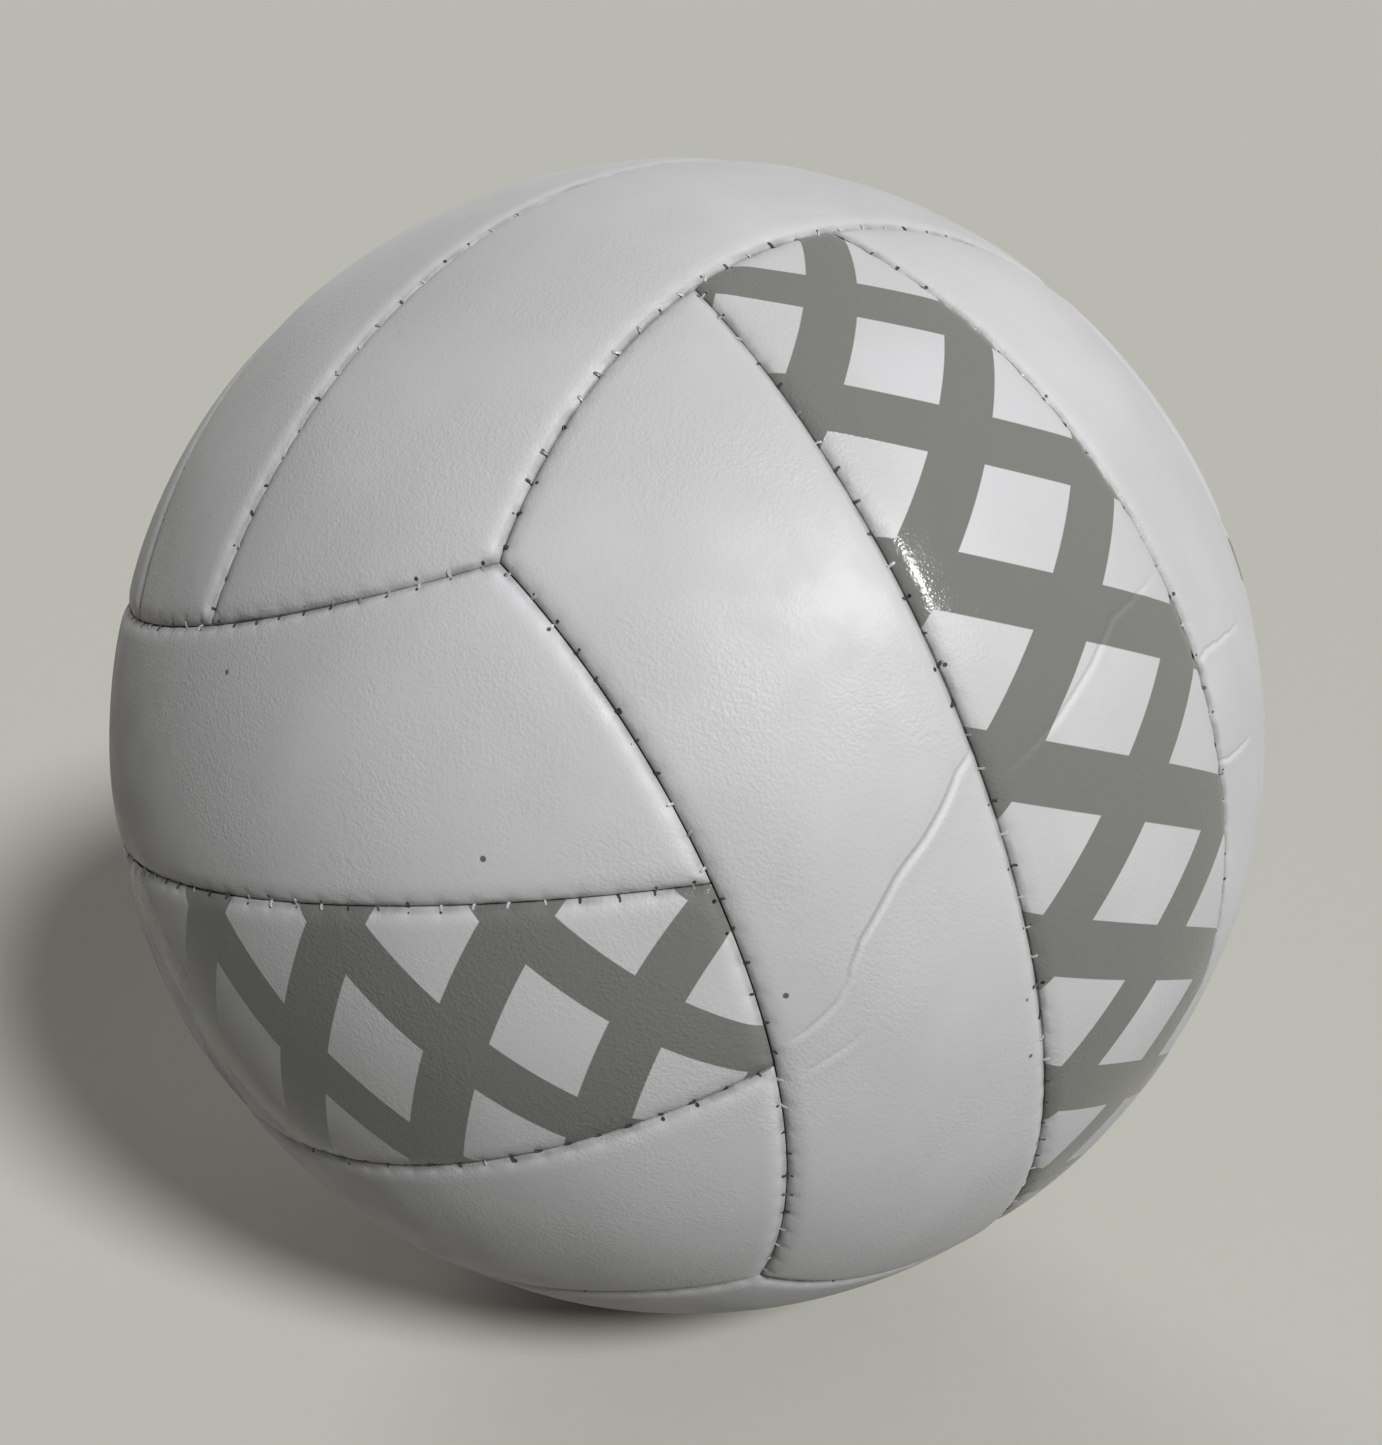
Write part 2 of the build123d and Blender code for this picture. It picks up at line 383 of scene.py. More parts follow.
@dataclass
class CoverPattern:
    """The master of one strip shape, in the upright group's axes, before it is laid on the ball."""

    strip: Strip
    seam_gap: float = 0.24 * MM
    roll_width: float = 3.4 * MM
    roll_depth: float = 1.05 * MM
    crown: float = 0.35 * MM
    crown_reach: float = 5.0 * MM
    thickness: float = 1.4 * MM
    flange_depth: float = 4.1 * MM
    finest_step: float = 0.17 * MM
    widest_step: float = 0.62 * MM
    step_growth: float = 1.13
    inner_cells: tuple = (48, 12)
    pucker_depth: float = 0.14 * MM
    pucker_radius: float = 0.85 * MM
    pucker_offset: float = 0.75 * MM
    pucker_span: float = 4.0
    corner_softness: float = 0.35 * MM
    smooth_angle: float = math.radians(50.0)
    mesh: bpy.types.Mesh = field(init=False, default=None)

    @property
    def seams(self) -> list:
        """The four seams round the strip, with both end seams on one circle."""
        ends = [edge_seam(Z_AXIS, X_AXIS), edge_seam(Z_AXIS, -X_AXIS)]
        far_side = divider_seam(-1.0) if self.strip is Strip.MIDDLE else edge_seam(Y_AXIS, Z_AXIS)
        return ends + [divider_seam(1.0), far_side]

    def side_line(self, share: Array, is_high: bool) -> Array:
        """Gives points of the strip's nearer or further long side, at shares from -1 to 1."""
        if is_high and self.strip is Strip.OUTER:
            seam, reach = edge_seam(Y_AXIS, Z_AXIS), EDGE_END
        else:
            is_first = is_high or self.strip is Strip.OUTER
            seam, reach = divider_seam(1.0 if is_first else -1.0), BALL.divider_end
        turn = (share * reach)[:, None]
        spoke = np.cos(turn) * seam.middle + np.sin(turn) * X_AXIS
        return math.cos(seam.polar) * seam.axis + math.sin(seam.polar) * spoke

    def end_line(self, share: Array, end: float) -> Array:
        """Gives points of an end of the strip, 1 or -1 along it, at shares from -1 to 1."""
        first = -BALL.junction if self.strip is Strip.MIDDLE else BALL.junction
        last = BALL.junction if self.strip is Strip.MIDDLE else EDGE_END
        turn = (first + (last - first) * (share + 1.0) / 2.0)[:, None]
        spoke = end * np.cos(turn) * X_AXIS + np.sin(turn) * Y_AXIS
        return math.cos(BALL.corner_angle) * Z_AXIS + math.sin(BALL.corner_angle) * spoke

    def patch(self, along: Array, across: Array) -> Array:
        """Spans the strip's four sides with a smooth patch of the unit ball, by places from -1 to 1."""
        u, v = ((along + 1.0) / 2.0)[:, None], ((across + 1.0) / 2.0)[:, None]
        ones = np.ones(1)
        sides = (1.0 - v) * self.side_line(along, False) + v * self.side_line(along, True)
        ends = (1.0 - u) * self.end_line(across, -1.0) + u * self.end_line(across, 1.0)
        corners = (
            (1.0 - u) * (1.0 - v) * self.side_line(-ones, False) + u * (1.0 - v) * self.side_line(ones, False)
            + (1.0 - u) * v * self.side_line(-ones, True) + u * v * self.side_line(ones, True)
        )
        points = sides + ends - corners
        return points / np.linalg.norm(points, axis=1, keepdims=True)

    def mean_size(self) -> tuple:
        """Gives the strip's mean length and width over the ball."""
        middle = self.patch(np.array([-1.0, 0.0, 1.0, 0.0, 0.0]), np.array([0.0, 0.0, 0.0, -1.0, 1.0]))
        cosines = [middle[0] @ middle[1], middle[1] @ middle[2], middle[3] @ middle[4]]
        angle = np.arccos(np.clip(cosines, -1.0, 1.0))
        return BALL.radius * (angle[0] + angle[1]), BALL.radius * angle[2]

    def graded_lines(self, length: float) -> Array:
        """Gives grid lines that crowd towards both ends of a length, from -1 to 1."""
        gaps, step, reached = [], self.finest_step, 0.0
        while reached < length / 2.0:
            gaps.append(step)
            reached += step
            step = min(step * self.step_growth, self.widest_step)
        half = np.concatenate([[0.0], np.cumsum(gaps)]) / reached - 1.0
        return np.concatenate([half[:-1], -half[::-1]])

    def seam_distance(self, points: Array) -> Array:
        """Gives the distance of points to the nearest seams, blended softly at the corners."""
        near = sum(np.exp(-seam.distance(points) / self.corner_softness) for seam in self.seams)
        return np.maximum(-self.corner_softness * np.log(np.maximum(near, TINY)), 0.0)

    def stitch_place(self, points: Array) -> Array:
        """Gives each point's run in stitches on its nearest seam, its distance and the seam's number."""
        distances = np.array([seam.distance(points) for seam in self.seams])
        runs = np.array([seam.run(points) for seam in self.seams])
        nearest = np.argmin(distances, axis=0)
        each = np.arange(len(points))
        return np.column_stack([runs[nearest, each], distances[nearest, each], nearest.astype(float)])

    def profile(self, distance: Array) -> Array:
        """Gives the leather's height at a distance from a seam, where it is crowned and rolled in."""
        share = 1.0 - np.minimum(distance / self.roll_width, 1.0)
        roll = self.roll_depth * (np.sqrt(1.0 - share ** 2) - 1.0)
        return roll - self.crown * np.exp(-distance / self.crown_reach)

    def relief(self, points: Array) -> Array:
        """Gives the leather's height over the ball: crowned, rolled in at seams, puckered by stitches."""
        distance = self.seam_distance(points)
        height = self.profile(distance)
        near = np.flatnonzero(distance < self.pucker_span * self.pucker_radius)
        pull = np.zeros(len(near))
        for seam in self.seams:
            for outward, _, across in seam.stitches():
                for side in (-1.0, 1.0):
                    spot = outward + side * across * self.pucker_offset / BALL.radius
                    gap = np.linalg.norm(points[near] - spot, axis=1) * BALL.radius
                    pull = np.maximum(pull, np.exp(-(gap / self.pucker_radius) ** 2))
        height[near] -= self.pucker_depth * pull
        return height

    def grid(self, name: str, columns: int, rows: int) -> Piece:
        """Adds a plain grid of cells as the start of a wall."""
        deselect_all()
        bpy.ops.mesh.primitive_grid_add(x_subdivisions=columns, y_subdivisions=rows, size=2.0)
        wall = bpy.context.object
        wall.name = name
        return wall

    def fold_in(self, wall: Piece, from_radius: float) -> None:
        """Extrudes a wall's rim towards the ball's centre as the folded flange."""
        shrink = (BALL.radius - self.flange_depth) / from_radius
        with editing(wall):
            bpy.ops.mesh.region_to_loop()
            bpy.ops.mesh.extrude_edges_move()
            bpy.ops.transform.resize(value=(shrink, shrink, shrink), center_override=(0.0, 0.0, 0.0))

    def outer_wall(self) -> Piece:
        """Shapes the leather's outer face and its flange."""
        length, width = self.mean_size()
        columns, rows = self.graded_lines(length), self.graded_lines(width)
        wall = self.grid(f"pattern_{self.strip.value}", len(columns) - 1, len(rows) - 1)
        flat = read_points(wall.data)
        column = np.rint((flat[:, 0] + 1.0) / 2.0 * (len(columns) - 1)).astype(int)
        row = np.rint((flat[:, 1] + 1.0) / 2.0 * (len(rows) - 1)).astype(int)
        along = columns[column] * (1.0 - self.seam_gap / length)
        across = rows[row] * (1.0 - self.seam_gap / width)
        points = self.patch(along, across)
        write_points(wall.data, points * (BALL.radius + self.relief(points))[:, None])
        place = np.column_stack([
            np.arcsin(points[:, 0]) * BALL.radius,
            np.arctan2(points[:, 1], points[:, 2]) * BALL.radius,
            self.seam_distance(points),
        ])
        note_vectors(wall.data, "strip_place", place)
        note_vectors(wall.data, "stitch_place", self.stitch_place(points))
        self.fold_in(wall, BALL.radius - self.roll_depth - self.crown)
        return wall

    def inner_wall(self) -> Piece:
        """Shapes the leather's inner face, plainer than the outer one, with the flange's back."""
        length, width = self.mean_size()
        wall = self.grid(f"lining_{self.strip.value}", *self.inner_cells)
        flat = read_points(wall.data)
        inset = self.seam_gap + 2.0 * self.thickness
        points = self.patch(flat[:, 0] * (1.0 - inset / length), flat[:, 1] * (1.0 - inset / width))
        radius = BALL.radius - self.thickness - self.crown
        write_points(wall.data, points * radius)
        wall.data.flip_normals()
        self.fold_in(wall, radius)
        return wall

    def build(self) -> None:
        """Joins the two walls at the flange into one closed piece of leather."""
        outer, inner = self.outer_wall(), self.inner_wall()
        make_active(outer)
        inner.select_set(True)
        bpy.ops.object.join()
        with editing(outer):
            bpy.ops.mesh.select_all(action="DESELECT")
            bpy.ops.mesh.select_non_manifold()
            bpy.ops.mesh.bridge_edge_loops()
            bpy.ops.mesh.select_all(action="SELECT")
            bpy.ops.mesh.normals_make_consistent(inside=False)
        bpy.ops.object.shade_smooth_by_angle(angle=self.smooth_angle)
        self.mesh = outer.data
        bpy.data.objects.remove(outer)
        LOG.info("pattern %s: %d faces", self.strip.value, len(self.mesh.polygons))


@dataclass
class CoverPanel:
    """A leather strip on the ball, with its own unevenness, creases and, on one strip, the valve's hole."""

    group: Group
    name: str
    pattern: CoverPattern
    half_turn: bool = False
    swell: float = 0.10 * MM
    swell_waves: int = 7
    swell_pace: float = 11.0
    face_margin: float = 0.3 * MM
    valve_hole_radius: float = 2.85 * MM
    valve_hole_sides: int = 64
    valve_hole_depth: float = 20.0 * MM
    valve_hollow: float = 0.35 * MM
    valve_hollow_radius: float = 6.0 * MM
    sliver: float = 0.02 * MM

    @property
    def node(self) -> str:
        """The name of the cover that this panel stands for."""
        return f"cover_{self.group.face}_{self.name}"

    @property
    def has_valve(self) -> bool:
        """Whether the valve's nose comes out through this strip."""
        return self.group.has_valve and self.pattern.strip is Strip.MIDDLE

    @property
    def has_print(self) -> bool:
        """Whether the strip carries the grey print."""
        return self.group.has_print and self.pattern.strip is Strip.MIDDLE

    @property
    def creases(self) -> list:
        """The folds that cross this strip."""
        return [crease for crease in CREASES if crease.node == self.node]

    def matrix(self) -> Array:
        """Gives the turn from the pattern's axes to the resting ball."""
        return self.group.matrix() @ turn_about(Z_AXIS, 180.0 if self.half_turn else 0.0)

    def unevenness(self, points: Array, seed: int) -> Array:
        """Gives the slow swell of hand-sewn leather, different on each strip."""
        random = np.random.default_rng(seed)
        height = np.zeros(len(points))
        for wave in random.normal(size=(self.swell_waves, 3)):
            height += np.sin(points @ (wave * self.swell_pace) + random.uniform(0.0, 2.0 * math.pi))
        return self.swell * height / math.sqrt(self.swell_waves)

    def note_creases(self, mesh: bpy.types.Mesh, outward: Array) -> None:
        """Notes on the mesh how each vertex lies to the strip's creases, for the leather's finish."""
        for index, name in enumerate(CREASE_LAYERS):
            note = np.zeros((len(outward), 3))
            if index < len(self.creases):
                note[:, 0], note[:, 1] = self.creases[index].place(outward)
            note_vectors(mesh, name, note)

    def pierce(self, piece: Piece) -> None:
        """Cuts the round hole for the valve's nose."""
        deselect_all()
        bpy.ops.mesh.primitive_cylinder_add(
            vertices=self.valve_hole_sides, radius=self.valve_hole_radius, depth=self.valve_hole_depth,
        )
        cutter = bpy.context.object
        write_points(cutter.data, (read_points(cutter.data) + Z_AXIS * BALL.radius) @ self.matrix().T)
        make_active(piece)
        cut = piece.modifiers.new("valve_hole", "BOOLEAN")
        cut.object = cutter
        cut.operation = "DIFFERENCE"
        cut.solver = "EXACT"
        bpy.ops.object.modifier_apply(modifier=cut.name)
        bpy.data.objects.remove(cutter)
        with editing(piece):
            bpy.ops.mesh.remove_doubles(threshold=self.sliver)
            bpy.ops.mesh.dissolve_degenerate(threshold=self.sliver)
        LOG.info("%s: valve hole cut", piece.name)

    def build(self, seed: int) -> Piece:
        """Lays a copy of the pattern on the ball.

        Args:
            seed: Number that sets this strip's own unevenness.

        Returns:
            The finished leather strip.
        """
        mesh = self.pattern.mesh.copy()
        piece = put_in_scene(f"leather_{self.group.face}_{self.name}", mesh)
        points = read_points(mesh) @ self.matrix().T
        radius = np.linalg.norm(points, axis=1)
        outward = points / radius[:, None]
        is_face = radius > BALL.radius - self.pattern.roll_depth - self.pattern.crown - self.face_margin
        height = self.unevenness(outward, seed)
        height += sum((crease.form(outward) for crease in self.creases), np.zeros(len(outward)))
        self.note_creases(mesh, outward)
        if self.has_valve:
            gap = np.linalg.norm(outward - self.matrix() @ Z_AXIS, axis=1) * BALL.radius
            height -= self.valve_hollow * np.exp(-(gap / self.valve_hollow_radius) ** 2)
        write_points(mesh, points + outward * (height * is_face)[:, None])
        if self.has_valve:
            self.pierce(piece)
        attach(piece, ROOT_BODY)
        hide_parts(self.node)
        "printed_cover" if self.has_print else "white_cover"
        LOG.info("%s: %d faces", piece.name, len(piece.data.polygons))
        return piece


@dataclass
class SeamThread:
    """The visible turns of thread on two seams of a group, each from a pricked hole into the groove."""

    group: Group
    name: str
    seams: tuple
    pattern: CoverPattern
    thread_radius: float = 0.15 * MM
    reach: float = 0.60 * MM
    bow: float = 0.42
    groove_sink: float = 1.30 * MM
    groove_offset: float = 0.10 * MM
    hole_sink: float = 0.16 * MM
    side_share: float = 0.72
    reach_spread: tuple = (0.75, 1.25)
    slant_spread: float = 0.30
    end_cut: float = -0.1
    smooth_angle: float = math.radians(60.0)

    def stitch(self) -> bpy.types.Mesh:
        """Models one turn of thread of unit half length: half a ring, flattened, with closed ends."""
        deselect_all()
        bpy.ops.mesh.primitive_torus_add(
            major_segments=16, minor_segments=6,
            major_radius=1.0, minor_radius=2.0 * self.thread_radius / self.reach,
            rotation=(math.radians(90.0), 0.0, 0.0),
        )
        ring = bpy.context.object
        bpy.ops.object.transform_apply(location=False, rotation=True, scale=False)
        with editing(ring):
            bpy.ops.mesh.bisect(
                plane_co=(0.0, 0.0, self.end_cut), plane_no=(0.0, 0.0, 1.0), use_fill=True, clear_inner=True,
            )
            bpy.ops.mesh.select_all(action="SELECT")
            bpy.ops.transform.resize(value=(1.0, 1.0, self.bow), center_override=(0.0, 0.0, 0.0))
            bpy.ops.mesh.normals_make_consistent(inside=False)
        mesh = ring.data
        bpy.data.objects.remove(ring)
        return mesh

    def stitch_axes(self, place: tuple, random: np.random.Generator) -> tuple:
        """Finds how one stitch lies, from its hole down into the groove.

        Args:
            place: The outward, along and across directions of the stitch.
            random: Source of the stitch's own slant, reach and side.

        Returns:
            The stitch's centre, and its three axes as rows.
        """
        outward, along, across = place
        across = across * (1.0 if random.uniform() < self.side_share else -1.0)
        reach = self.reach * random.uniform(*self.reach_spread)
        slant = random.normal(0.0, self.slant_spread) * MM
        low = outward * (BALL.radius - self.groove_sink) - across * self.groove_offset
        edge = float(self.pattern.profile(np.array([reach]))[0])
        high = outward * (BALL.radius + edge - self.hole_sink) + across * reach + along * slant
        chord = (high - low) / 2.0
        rise = np.cross(chord, along)
        rise *= np.sign(rise @ outward) * np.linalg.norm(chord) / np.linalg.norm(rise)
        width = np.cross(rise, chord)
        width *= np.linalg.norm(chord) / np.linalg.norm(width)
        return (high + low) / 2.0, np.array([chord, width, rise])

    def build(self, seed: int) -> Piece:
        """Sets a copy of the stitch at every place along the seams.

        Args:
            seed: Number that sets the stitches' own slants and lengths.

        Returns:
            The thread of these seams as one piece.
        """
        random = np.random.default_rng(seed)
        master = self.stitch()
        shape = read_points(master)
        faces = [tuple(face.vertices) for face in master.polygons]
        turn = self.group.matrix()
        points, polygons, tones = [], [], []
        for place in (place for seam in self.seams for place in seam.stitches()):
            centre, axes = self.stitch_axes(place, random)
            start = len(points) * len(shape)
            points.append((shape @ axes + centre) @ turn.T)
            polygons += [tuple(start + corner for corner in face) for face in faces]
            tones.append(np.full(len(shape), random.uniform(0.0, 1.0)))
        mesh = bpy.data.meshes.new(f"thread_{self.group.face}_{self.name}")
        mesh.from_pydata(np.concatenate(points), [], polygons)
        layer = mesh.attributes.new("stitch_tone", "FLOAT", "POINT")
        layer.data.foreach_set("value", np.concatenate(tones))
        bpy.data.meshes.remove(master)
        piece = put_in_scene(mesh.name, mesh)
        with editing(piece):
            bpy.ops.mesh.normals_make_consistent(inside=False)
        bpy.ops.object.shade_smooth_by_angle(angle=self.smooth_angle)
        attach(piece, ROOT_BODY)
        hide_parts(f"stitches_{self.group.face}_{self.name}")
        LOG.info("%s: %d stitches", piece.name, len(tones))
        return piece


class NodeBench:
    """The node tree of a material or a world, with short calls for its nodes and links."""

    MIX_COLOUR_INPUTS = (0, 6, 7)
    MIX_COLOUR_RESULT = 2

    def __init__(self, owner: bpy.types.ID) -> None:
        """Opens the owner's nodes."""
        owner.use_nodes = True
        self.owner = owner
        self.tree = owner.node_tree

    def add(self, kind: str, settings: dict | None = None, **inputs: object) -> bpy.types.Node:
        """Adds a node with its settings and its inputs."""
        node = self.tree.nodes.new(kind)
        for key, value in (settings or {}).items():
            setattr(node, key, value)
        self.fill(node, inputs)
        return node

    def fill(self, node: bpy.types.Node, inputs: dict) -> None:
        """Feeds a node's inputs, by name with _ for spaces, each with a number, colour or socket."""
        for key, value in inputs.items():
            self.feed(node.inputs[key.replace("_", " ")], value)

    def feed(self, socket: Socket, value: object) -> None:
        """Links an output to a socket, or sets the socket's own value."""
        if isinstance(value, Socket):
            self.tree.links.new(value, socket)
        else:
            socket.default_value = value

    def finish(self, **inputs: object) -> bpy.types.Material:
        """Feeds the material's shader and gives the material."""
        self.fill(self.tree.nodes["Principled BSDF"], inputs)
        return self.owner

    def compute(self, kind: str, operation: str, values: tuple) -> bpy.types.NodeOutputs:
        """Adds a node that computes with its inputs in their order, and gives its outputs."""
        node = self.add(kind, {"operation": operation})
        for socket, value in zip(node.inputs, values):
            self.feed(socket, value)
        return node.outputs

    def math(self, operation: str, *values: object) -> Socket:
        """Adds a Math node and gives its output."""
        return self.compute("ShaderNodeMath", operation, values)["Value"]

    def times(self, first: object, second: object) -> Socket:
        """Multiplies two values."""
        return self.math("MULTIPLY", first, second)

    def away(self, value: object, place: float) -> Socket:
        """Gives how far a value lies from a place, on either side."""
        return self.math("ABSOLUTE", self.math("SUBTRACT", value, place))

    def measure(self, operation: str, *vectors: object) -> Socket:
        """Adds a Vector Math node and gives the number that it measures."""
        return self.compute("ShaderNodeVectorMath", operation, vectors)["Value"]

    def ramp(self, value: object, span: tuple) -> Socket:
        """Maps values smoothly by a span: a lowest and a highest value, and what each becomes."""
        low, high, out_low, out_high = span
        node = self.add(
            "ShaderNodeMapRange", {"interpolation_type": "SMOOTHSTEP"},
            Value=value, From_Min=low, From_Max=high, To_Min=out_low, To_Max=out_high,
        )
        return node.outputs["Result"]

    def blend(self, factor: object, first: object, second: object) -> Socket:
        """Mixes two colours and gives the mixed colour."""
        node = self.add("ShaderNodeMix", {"data_type": "RGBA"})
        for index, value in zip(self.MIX_COLOUR_INPUTS, (factor, first, second)):
            self.feed(node.inputs[index], value)
        return node.outputs[self.MIX_COLOUR_RESULT]

    def place(self) -> Socket:
        """Gives the piece's own coordinates."""
        return self.add("ShaderNodeTexCoord").outputs["Object"]

    def layer(self, name: str) -> bpy.types.NodeOutputs:
        """Reads a vector that is noted on the mesh and gives its X, Y and Z."""
        attribute = self.add("ShaderNodeAttribute", {"attribute_name": name})
        return self.add("ShaderNodeSeparateXYZ", Vector=attribute.outputs["Vector"]).outputs

    def noise(self, place: object, scale: float, detail: float, roughness: float = 0.5) -> Socket:
        """Adds soft noise and gives its value."""
        node = self.add("ShaderNodeTexNoise", Vector=place, Scale=scale, Detail=detail, Roughness=roughness)
        return node.outputs["Fac"]

    def patches(self, place: object, noise: tuple, span: tuple) -> Socket:
        """Adds soft noise, by its scale, detail and roughness, and maps it by a span."""
        return self.ramp(self.noise(place, *noise), span)

    def cells(self, place: object, scale: float, feature: str = "F1") -> bpy.types.NodeOutputs:
        """Adds a field of rounded cells and gives its outputs."""
        return self.add("ShaderNodeTexVoronoi", {"feature": feature}, Vector=place, Scale=scale).outputs

    def bump(self, height: object, strength: float, distance: float) -> Socket:
        """Adds fine relief and gives its normal."""
        node = self.add("ShaderNodeBump", Strength=strength, Distance=distance, Height=height)
        return node.outputs["Normal"]


@dataclass(frozen=True)
class Trellis:
    """The grey print: bands that cross as a regular diamond trellis, in metres and degrees."""

    band_pitch: float = 24.0 * MM
    band_width: float = 9.0 * MM
    slant: float = 57.0
    edge_softness: float = 0.10 * MM

    def mask(self, bench: NodeBench, along: object, across: object) -> Socket:
        """Gives 1 on the bands and 0 between them, from distances along and across the strip."""
        rise, run = math.sin(math.radians(self.slant)), math.cos(math.radians(self.slant))
        half = self.band_width / 2.0
        edge = (half - self.edge_softness, half + self.edge_softness, 1.0, 0.0)
        bands = []
        for side in (1.0, -1.0):
            lean = bench.math("ADD", bench.times(along, rise), bench.times(across, side * run))
            bands.append(bench.ramp(bench.math("PINGPONG", lean, self.band_pitch / 2.0), edge))
        return bench.math("MAXIMUM", *bands)


@dataclass(frozen=True)
class LeatherFinish:
    """Satin synthetic leather with a fine pebble grain, handled and a little soiled, with painted shade along
    the seams, in crease lines and in stitch holes, and painted highlights on crease lips.

    A noise is its scale, detail and roughness. A span is a lowest and a highest value, and what each
    becomes. Patches are a noise and its span.
    """

    name: str
    white: tuple = (0.70, 0.70, 0.715, 1.0)
    shaded_white: tuple = (0.62, 0.62, 0.63, 1.0)
    # Dark grey for dirt spots, for dirt with painted shade along the seams, and for painted shade in crease
    # lines.
    grime_and_shade: tuple = (0.16, 0.16, 0.155, 1.0)
    scuff: tuple = (0.40, 0.40, 0.395, 1.0)
    # Painted highlight along the lip beside each crease.
    painted_lip_highlight: tuple = (0.80, 0.80, 0.81, 1.0)
    print_grey: tuple = (0.222, 0.225, 0.208, 1.0)
    # Near black for the painted shade of the stitch holes, and for dark specks of dirt.
    hole: tuple = (0.022, 0.021, 0.02, 1.0)
    clouds: tuple = ((22.0, 4.0), (0.35, 0.65, 0.0, 1.0))
    scuffs: tuple = ((38.0, 6.0, 0.62), (0.60, 0.72, 0.0, 0.16))
    rubs: tuple = ((420.0, 4.0, 0.6), (0.45, 0.62, 0.0, 1.0))
    spot_scale: float = 42.0
    spot_choice: tuple = (0.80, 0.82, 0.0, 0.8)
    spot_edge: tuple = (0.014, 0.022, 1.0, 0.0)
    speck_span: tuple = (0.336 * MM, 0.546 * MM, 0.85, 0.0)
    # Patches and reach of the darkening beside the seams: partly dirt, partly painted shade of the grooves.
    dirt_and_shade: tuple = ((260.0, 3.0), (0.3, 0.7, 0.35, 1.0))
    seam_dirt_and_shade_reach: tuple = (0.25 * MM, 1.3 * MM, 0.62, 0.0)
    # Place, width and strength of the painted highlight on each crease's lip, weaker on print.
    lip_place: float = 0.45 * MM
    lip_reach: tuple = (0.1 * MM, 0.6 * MM, 1.0, 0.0)
    lip_rise: tuple = (0.0, 0.24 * MM, 0.0, 0.85)
    lip_on_print: tuple = (0.0, 1.0, 1.0, 0.12)
    # Place, width and darkness of the painted shade in each crease's line.
    line_place: float = -0.30 * MM
    line_reach: tuple = (0.05 * MM, 0.38 * MM, 1.0, 0.0)
    line_depth: tuple = (0.0, 0.24 * MM, 0.0, 0.38)
    fold_fall: tuple = (-0.75 * MM, -0.25 * MM, 0.0, -0.5)
    fold_rise: tuple = (-0.25 * MM, 0.45 * MM, 0.0, 0.5)
    # Size and place of the painted shade of the hole beside each stitch.
    hole_rim: tuple = (0.45, 1.0, 0.006 * MM, 0.375 * MM)
    hole_core: float = 0.7
    hole_slide: tuple = (0.0, 1.0, -0.25 * MM, 0.25 * MM)
    hole_offset: tuple = (0.0, 1.0, 0.35 * MM, 0.80 * MM)
    grain_height: float = 0.046 * MM
    grain_scale: float = 2200.0
    pebble_share: float = 0.8
    wrinkle_noise: tuple = (990.0, 3.0, 0.6)
    wrinkle_share: float = 0.9
    depths: tuple = ((48.0, 3.0), (0.36, 0.64, 0.55, 1.5))
    print_grain: float = 0.5
    shine: tuple = ((130.0, 4.0), (0.3, 0.7, 0.50, 0.61))
    print_polish: float = 0.37
    refraction: float = 1.5
    specular: float = 0.75
    print_specular: float = 0.25
    trellis: Trellis | None = None

    def colour(self, bench: NodeBench, place: object, edge: object, mask: object) -> Socket:
        """Builds the leather's colour: cloudy white, print, scuffs, dirt spots, painted highlight on crease
        lips, and dirt with painted shade along the seams and painted shade in crease lines.
        """
        clouds = bench.patches(place, *self.clouds)
        colour = bench.blend(clouds, self.white, self.shaded_white)
        if mask is not None:
            colour = bench.blend(mask, colour, self.print_grey)
        scuffs = bench.patches(place, *self.scuffs)
        rubs = bench.patches(place, *self.rubs)
        colour = bench.blend(bench.times(scuffs, rubs), colour, self.scuff)
        spots = bench.cells(place, self.spot_scale)
        draw = bench.add("ShaderNodeSeparateColor", Color=spots["Color"]).outputs[0]
        dot = bench.ramp(spots["Distance"], self.spot_edge)
        colour = bench.blend(bench.times(dot, bench.ramp(draw, self.spot_choice)), colour, self.grime_and_shade)
        # Darker beside the seams: dirt in patches, and painted shade where the grooves fall.
        dirt_and_shade_patches = bench.patches(place, *self.dirt_and_shade)
        dirt_and_shade = bench.times(bench.ramp(edge, self.seam_dirt_and_shade_reach), dirt_and_shade_patches)
        for name in CREASE_LAYERS:
            crease = bench.layer(name)
            # Painted highlight along the lip on the right side of each crease.
            lip = bench.ramp(bench.away(crease["X"], self.lip_place), self.lip_reach)
            rise = bench.ramp(crease["Y"], self.lip_rise)
            if mask is not None:
                rise = bench.times(rise, bench.ramp(mask, self.lip_on_print))
            colour = bench.blend(bench.times(lip, rise), colour, self.painted_lip_highlight)
            # Painted shade in each crease's line, joined to the seam darkening.
            line = bench.ramp(bench.away(crease["X"], self.line_place), self.line_reach)
            depth = bench.ramp(crease["Y"], self.line_depth)
            dirt_and_shade = bench.math("MAXIMUM", dirt_and_shade, bench.times(line, depth))
        return bench.blend(dirt_and_shade, colour, self.grime_and_shade)

